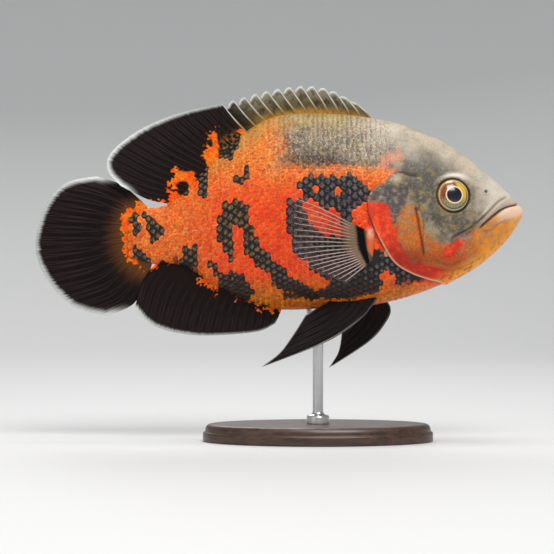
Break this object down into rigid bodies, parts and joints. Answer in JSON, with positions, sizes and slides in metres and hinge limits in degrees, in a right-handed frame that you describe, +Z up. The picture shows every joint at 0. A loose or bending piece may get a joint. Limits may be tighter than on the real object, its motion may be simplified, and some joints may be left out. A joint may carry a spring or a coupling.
{
  "type": "oscar fish model",
  "caption": "Life-size display model of an adult oscar fish swimming, a deep oval body with rounded tail and long dorsal fin, held over an oval base by a rod",
  "frame": {"origin": "centre of the underside of the stand's base", "axes": "+X towards the fish's nose, +Y towards the fish's left side, +Z up"},
  "size_m": [0.28, 0.084, 0.2036],
  "materials": {
    "flank_skin": "moist scaled skin, orange with dark patches",
    "head_skin": "moist grey-olive head skin",
    "jaw_skin": "moist pale pinkish jaw skin",
    "gill_cover_skin": "moist golden-orange skin with a red-orange rear rim",
    "dark_fin": "dark membrane with fine rays and a pale rim",
    "clear_fin": "clear membrane with pale rays",
    "eye": "glossy eye with an amber iris and a dark pupil",
    "stand_wood": "dark stained wood, satin",
    "stand_metal": "brushed"
  },
  "bodies": {
    "root": {"head": "head_skin", "lower_jaw": "jaw_skin", "gill_cover_right": "gill_cover_skin", "gill_cover_left": "gill_cover_skin", "eye_right": "eye", "eye_left": "eye", "trunk": "flank_skin", "tail_stem": "flank_skin", "dorsal_fin_spiny": "dark_fin", "dorsal_fin_soft": "dark_fin", "anal_fin": "dark_fin", "tail_fin": "dark_fin", "pectoral_fin_right": "clear_fin", "pectoral_fin_left": "clear_fin", "pelvic_fin_right": "dark_fin", "pelvic_fin_left": "dark_fin", "stand_base": "stand_wood", "stand_rod": "stand_metal"}
  },
  "joints": []
}
